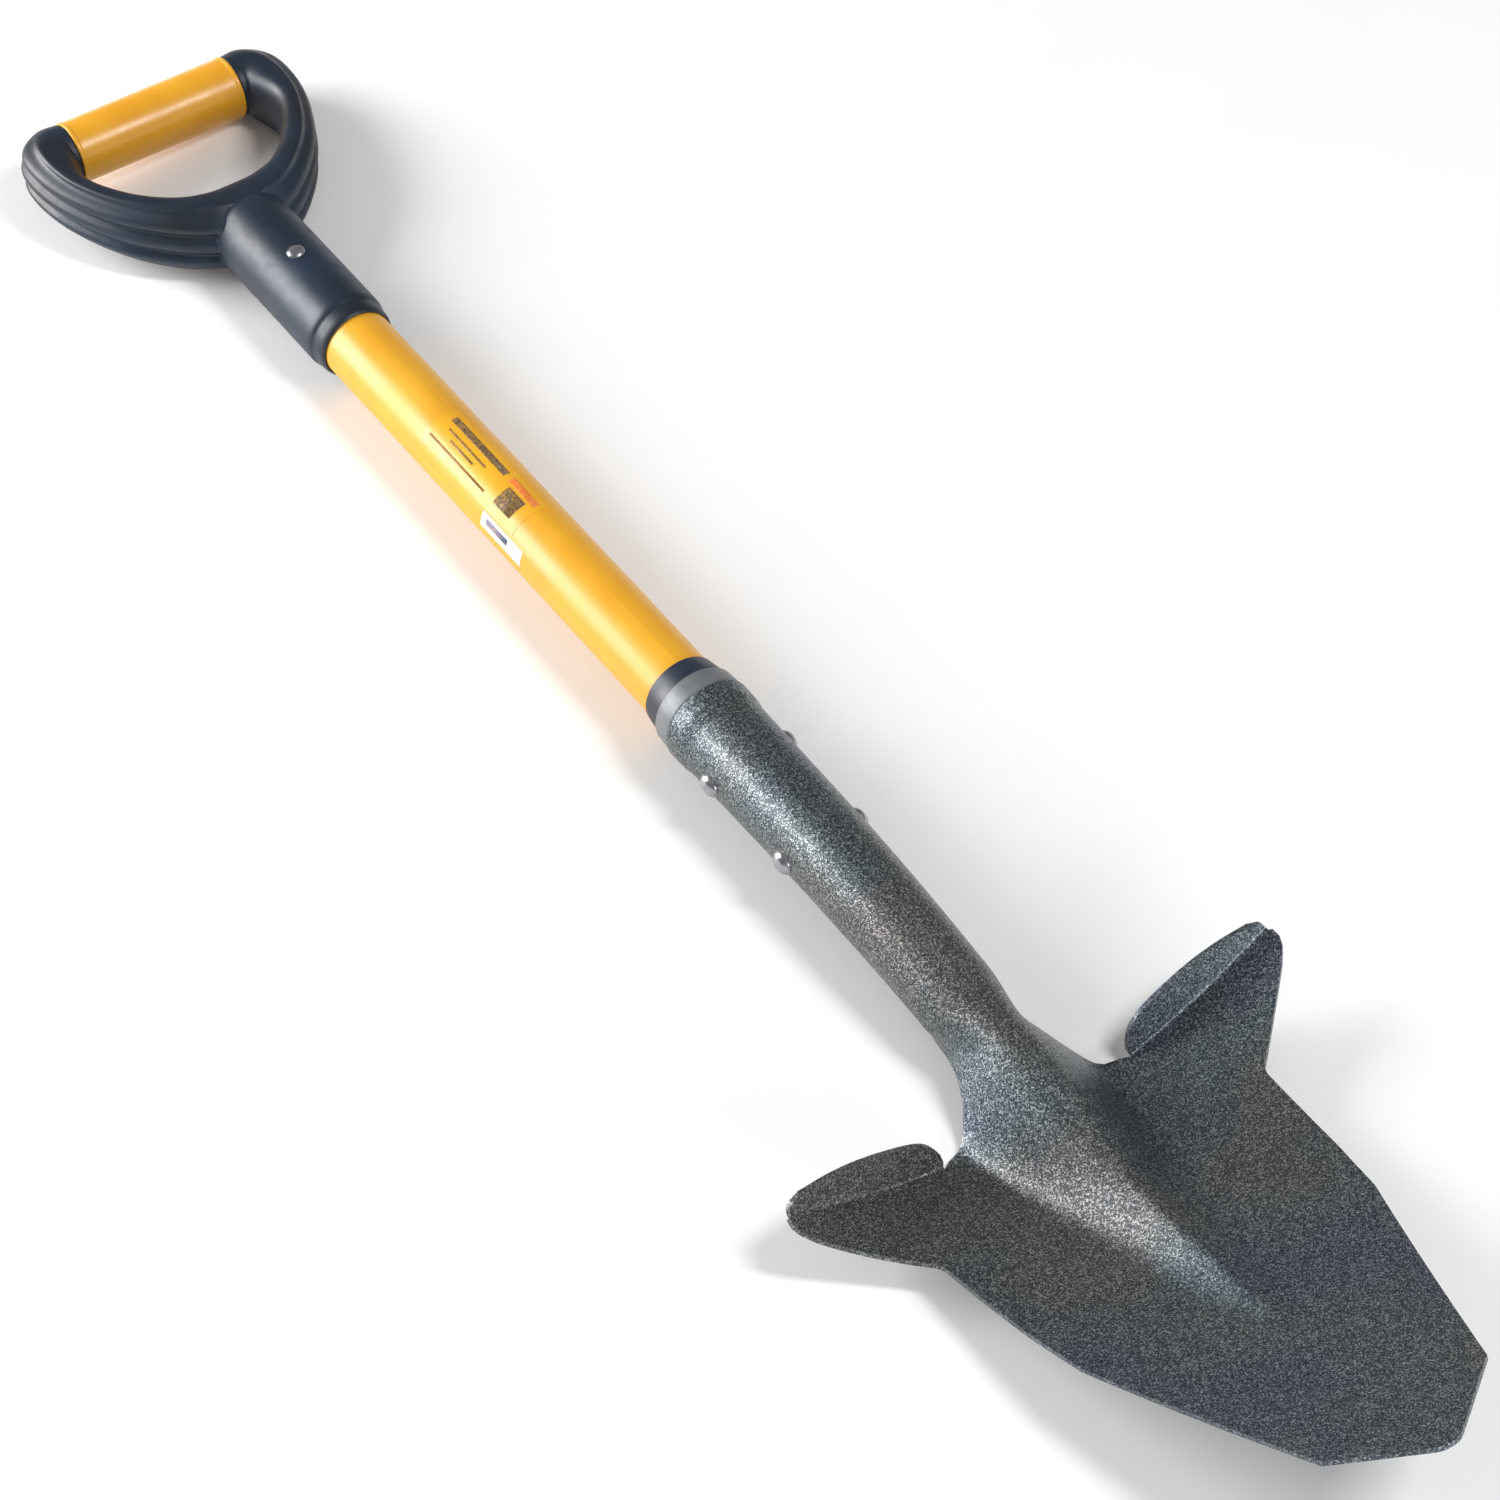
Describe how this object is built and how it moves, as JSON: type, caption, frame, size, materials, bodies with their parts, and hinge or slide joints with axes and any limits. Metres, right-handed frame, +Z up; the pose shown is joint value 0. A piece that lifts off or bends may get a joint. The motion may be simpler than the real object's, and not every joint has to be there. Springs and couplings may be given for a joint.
{
  "type": "digging spade",
  "caption": "Digging spade with a pointed spear-shaped steel blade, turned foot treads, tubular socket, fibreglass shaft and moulded D-grip.",
  "frame": {"origin": "below the middle of the tool, on the surface that it lies on, with the tool on its back", "axes": "+X along the tool from the grip to the blade's tip, +Z up, out of the front face of the blade, +Y across the blade"},
  "size_m": [1.0424, 0.2544, 0.0877],
  "materials": {
    "powder_coated_steel": "silver-fleck powder coat",
    "grey_ring_steel": "satin",
    "dark_moulding": "semi-gloss moulded",
    "yellow_fibreglass": "gloss",
    "hidden_plug": "matte",
    "zinc_rivet": "bright zinc",
    "hidden_bar_steel": "plain",
    "yellow_grip": "semi-gloss",
    "printed_label": "satin film",
    "paper_sticker": "satin film"
  },
  "bodies": {
    "root": {"blade_head": "powder_coated_steel", "ferrule_ring": "grey_ring_steel", "socket_collar": "dark_moulding", "shaft_tube": "yellow_fibreglass", "ferrule_insert": "hidden_plug", "grip_insert": "hidden_plug", "socket_rivet_1": "zinc_rivet", "socket_rivet_2": "zinc_rivet", "grip_rivet": "zinc_rivet", "grip_yoke": "dark_moulding", "grip_bar": "hidden_bar_steel", "grip_sleeve": "yellow_grip", "shaft_label": "printed_label", "shaft_sticker": "paper_sticker"}
  },
  "joints": []
}
